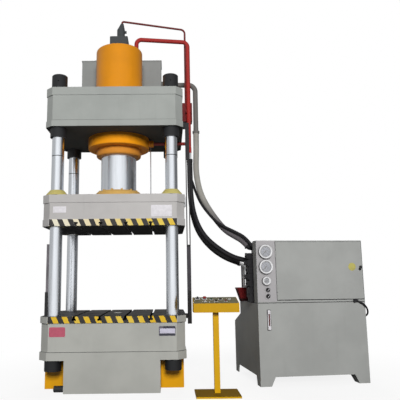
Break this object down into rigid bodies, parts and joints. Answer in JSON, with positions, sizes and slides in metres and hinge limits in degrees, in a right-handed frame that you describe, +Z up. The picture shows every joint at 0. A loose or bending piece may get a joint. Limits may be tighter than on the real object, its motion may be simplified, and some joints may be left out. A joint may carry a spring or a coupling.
{
  "type": "hydraulic press",
  "caption": "Column-guided hydraulic press with moving slide, slotted table, top-mounted cylinder, hose-linked power unit with gauges and a separate push-button pedestal.",
  "frame": {"origin": "on the floor under the centre of the press between its columns, where the foundation is set out", "axes": "+Z up; +Y to the back, away from the operator; +X to the operator's right, towards the power unit"},
  "size_m": [4.1603, 1.9238, 5.0087],
  "materials": {
    "frame_grey": "semi-gloss machine enamel",
    "table_steel": "ground and oiled",
    "foot_yellow": "gloss enamel",
    "nut_black": "satin enamel",
    "column_chrome": "hard chrome, ground",
    "cylinder_orange": "gloss enamel",
    "bush_olive": "satin enamel",
    "valve_blue": "satin enamel",
    "tank_grey": "semi-gloss enamel",
    "pipe_red": "gloss enamel",
    "pipe_maroon": "gloss enamel",
    "cabinet_grey": "fine textured enamel",
    "steel_bright": "zinc plated",
    "rail_dark": "dark anodised",
    "ejector_dark": "satin enamel",
    "motor_blue": "painted",
    "gauge_case": "moulded",
    "needle_black": "plain",
    "knob_black": "moulded",
    "panel_olive": "satin enamel",
    "button_red": "moulded",
    "button_green": "moulded",
    "button_black": "moulded",
    "hose_black": "smooth cover",
    "hose_grey": "smooth cover"
  },
  "bodies": {
    "frame": {"bed_frame": "frame_grey", "crown": "frame_grey", "table_plate": "table_steel", "side_feet": "foot_yellow", "pedestal_stand": "foot_yellow", "control_box": "foot_yellow", "column_nuts": "nut_black", "valve_manifold": "nut_black", "columns": "column_chrome", "main_cylinder": "cylinder_orange", "cylinder_lock_ring": "cylinder_orange", "cylinder_gland": "cylinder_orange", "prefill_valve": "valve_blue", "fill_tank": "tank_grey", "tank_pipe": "tank_grey", "pressure_pipe": "pipe_red", "return_pipe": "pipe_red", "pilot_pipe": "pipe_maroon", "valve_block": "pipe_maroon", "check_valve": "pipe_maroon", "drain_stub": "pipe_maroon", "pipe_clamps": "pipe_maroon", "oil_tank": "cabinet_grey", "tank_feet": "cabinet_grey", "cabinet_shell": "cabinet_grey", "control_strip": "cabinet_grey", "hose_fittings": "steel_bright", "oil_level_gauge": "steel_bright", "switch_rail": "rail_dark", "light_curtains": "rail_dark", "ejector_cylinder": "ejector_dark", "electric_motor": "motor_blue", "oil_pump": "motor_blue", "gauge_cases": "gauge_case", "button_panel": "panel_olive", "pressure_hose": "hose_black", "return_hose": "hose_black", "pilot_hose": "hose_black", "supply_cable": "hose_black", "tank_hose": "hose_grey"},
    "slide": {"slide_plate": "frame_grey", "slide_frame": "frame_grey", "guide_bushes": "bush_olive", "ram": "column_chrome", "ram_flange": "bush_olive", "slide_trips": "steel_bright"},
    "ejector_rod": {"ejector_rod": "column_chrome"},
    "cabinet_door": {"cabinet_door": "cabinet_grey"},
    "door_lock": {"door_lock": "steel_bright"},
    "pressure_needle": {"pressure_needle": "needle_black"},
    "return_needle": {"return_needle": "needle_black"},
    "temperature_needle": {"temperature_needle": "needle_black"},
    "selector_upper": {"selector_upper": "knob_black"},
    "selector_lower": {"selector_lower": "knob_black"},
    "pedestal_selector": {"pedestal_selector": "knob_black"},
    "stop_button": {"stop_button": "button_red"},
    "start_button": {"start_button": "button_green"},
    "down_button": {"down_button": "button_black"},
    "up_button": {"up_button": "button_black"},
    "eject_button": {"eject_button": "button_red"}
  },
  "joints": [
    {"name": "slide_travel", "type": "slide", "parent": "frame", "child": "slide", "axis": [0, 0, 1], "range_m": [-0.635, 0.165]},
    {"name": "ejector_travel", "type": "slide", "parent": "frame", "child": "ejector_rod", "axis": [0, 0, 1], "range_m": [0, 0.25]},
    {"name": "door_hinge", "type": "hinge", "parent": "frame", "child": "cabinet_door", "pos_m": [2.03166, -0.4062, 1.4], "axis": [0, 0, -1], "range_deg": [0, 105]},
    {"name": "door_lock_turn", "type": "hinge", "parent": "cabinet_door", "child": "door_lock", "pos_m": [3.13985, -0.26599, 1.411], "axis": [0.1184, -0.993, 0], "range_deg": [0, 90]},
    {"name": "pressure_needle_turn", "type": "hinge", "parent": "frame", "child": "pressure_needle", "pos_m": [1.89695, -0.45046, 1.638], "axis": [-0.1184, 0.993, 0], "range_deg": [0, 270], "stiffness_Nm_per_rad": 0.01},
    {"name": "return_needle_turn", "type": "hinge", "parent": "frame", "child": "return_needle", "pos_m": [1.89695, -0.45046, 1.448], "axis": [-0.1184, 0.993, 0], "range_deg": [0, 270], "stiffness_Nm_per_rad": 0.01},
    {"name": "temperature_needle_turn", "type": "hinge", "parent": "frame", "child": "temperature_needle", "pos_m": [1.89695, -0.45046, 1.273], "axis": [-0.1184, 0.993, 0], "range_deg": [-25, 245], "stiffness_Nm_per_rad": 0.01},
    {"name": "selector_upper_turn", "type": "hinge", "parent": "frame", "child": "selector_upper", "pos_m": [1.91543, -0.42811, 1.161], "axis": [0.1184, -0.993, 0], "range_deg": [-45, 45]},
    {"name": "selector_lower_turn", "type": "hinge", "parent": "frame", "child": "selector_lower", "pos_m": [1.91543, -0.42811, 1.084], "axis": [0.1184, -0.993, 0], "range_deg": [-45, 45]},
    {"name": "pedestal_selector_turn", "type": "hinge", "parent": "frame", "child": "pedestal_selector", "pos_m": [1.014, -0.73364, 1.07969], "axis": [0, -0.2166, 0.9763], "range_deg": [-45, 45]},
    {"name": "stop_button_press", "type": "slide", "parent": "frame", "child": "stop_button", "axis": [0, -0.2166, 0.9763], "range_m": [-0.006, 0], "stiffness_N_per_m": 600, "springref_m": 0.003},
    {"name": "start_button_press", "type": "slide", "parent": "frame", "child": "start_button", "axis": [0, -0.2166, 0.9763], "range_m": [-0.005, 0], "stiffness_N_per_m": 400, "springref_m": 0.003},
    {"name": "down_button_press", "type": "slide", "parent": "frame", "child": "down_button", "axis": [0, -0.2166, 0.9763], "range_m": [-0.005, 0], "stiffness_N_per_m": 400, "springref_m": 0.003},
    {"name": "up_button_press", "type": "slide", "parent": "frame", "child": "up_button", "axis": [0, -0.2166, 0.9763], "range_m": [-0.005, 0], "stiffness_N_per_m": 400, "springref_m": 0.003},
    {"name": "eject_button_press", "type": "slide", "parent": "frame", "child": "eject_button", "axis": [0, -0.2166, 0.9763], "range_m": [-0.005, 0], "stiffness_N_per_m": 400, "springref_m": 0.003}
  ]
}
